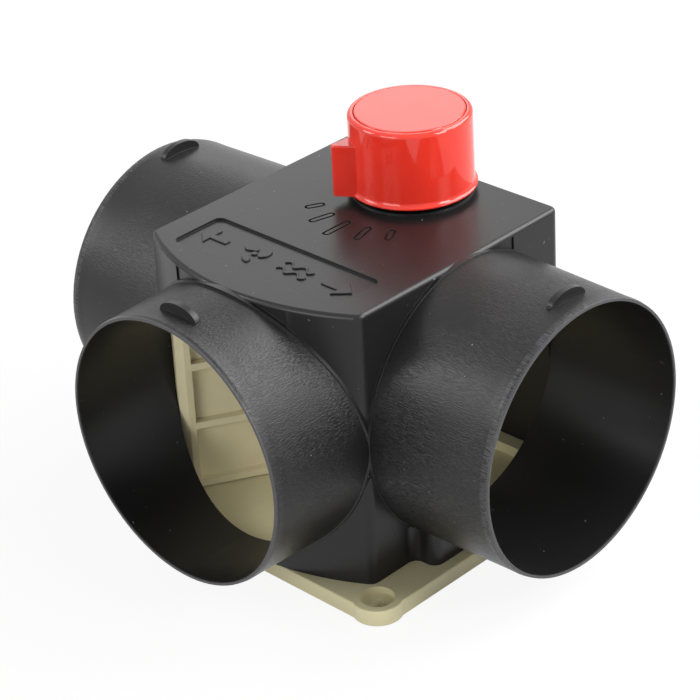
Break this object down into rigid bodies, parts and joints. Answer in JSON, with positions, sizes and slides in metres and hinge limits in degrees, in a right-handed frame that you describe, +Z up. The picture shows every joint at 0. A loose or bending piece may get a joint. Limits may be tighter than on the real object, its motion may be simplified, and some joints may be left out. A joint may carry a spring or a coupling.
{
  "type": "duct diverter valve",
  "caption": "Round-duct diverter valve: black moulded box with duct spigots, beige mounting plate, ribbed swing flap inside and a red turning knob with a pointer on top.",
  "frame": {"origin": "on the underside of the base plate, in the middle of its four mounting holes", "axes": "+Z up through the top plate, -Y out of the front spigot, +X out of the right spigot"},
  "size_m": [0.2, 0.1562, 0.1403],
  "materials": {
    "black_plastic": "semi-gloss black moulding with fine drag lines along the spigots",
    "beige_plastic": "satin beige moulding",
    "flap_plastic": "satin beige moulding",
    "red_plastic": "glossy orange-red moulding",
    "red_cap_plastic": "glossy orange-red cap",
    "screw_steel": "bright zinc-plated steel",
    "spring_steel": "plain spring steel",
    "ring_rubber": "black rubber"
  },
  "bodies": {
    "valve_body": {"housing": "black_plastic", "base_plate": "beige_plastic", "base_screws": "screw_steel"},
    "turning_valve": {"flap": "flap_plastic", "spindle_o_ring": "ring_rubber", "friction_spring": "spring_steel", "knob": "red_plastic", "knob_washer": "screw_steel", "knob_screw": "screw_steel", "knob_cap": "red_cap_plastic"}
  },
  "joints": [
    {"name": "flap_turn", "type": "hinge", "parent": "valve_body", "child": "turning_valve", "pos_m": [0, 0.0288, 0], "axis": [0, 0, 1], "range_deg": [0, 60]}
  ]
}
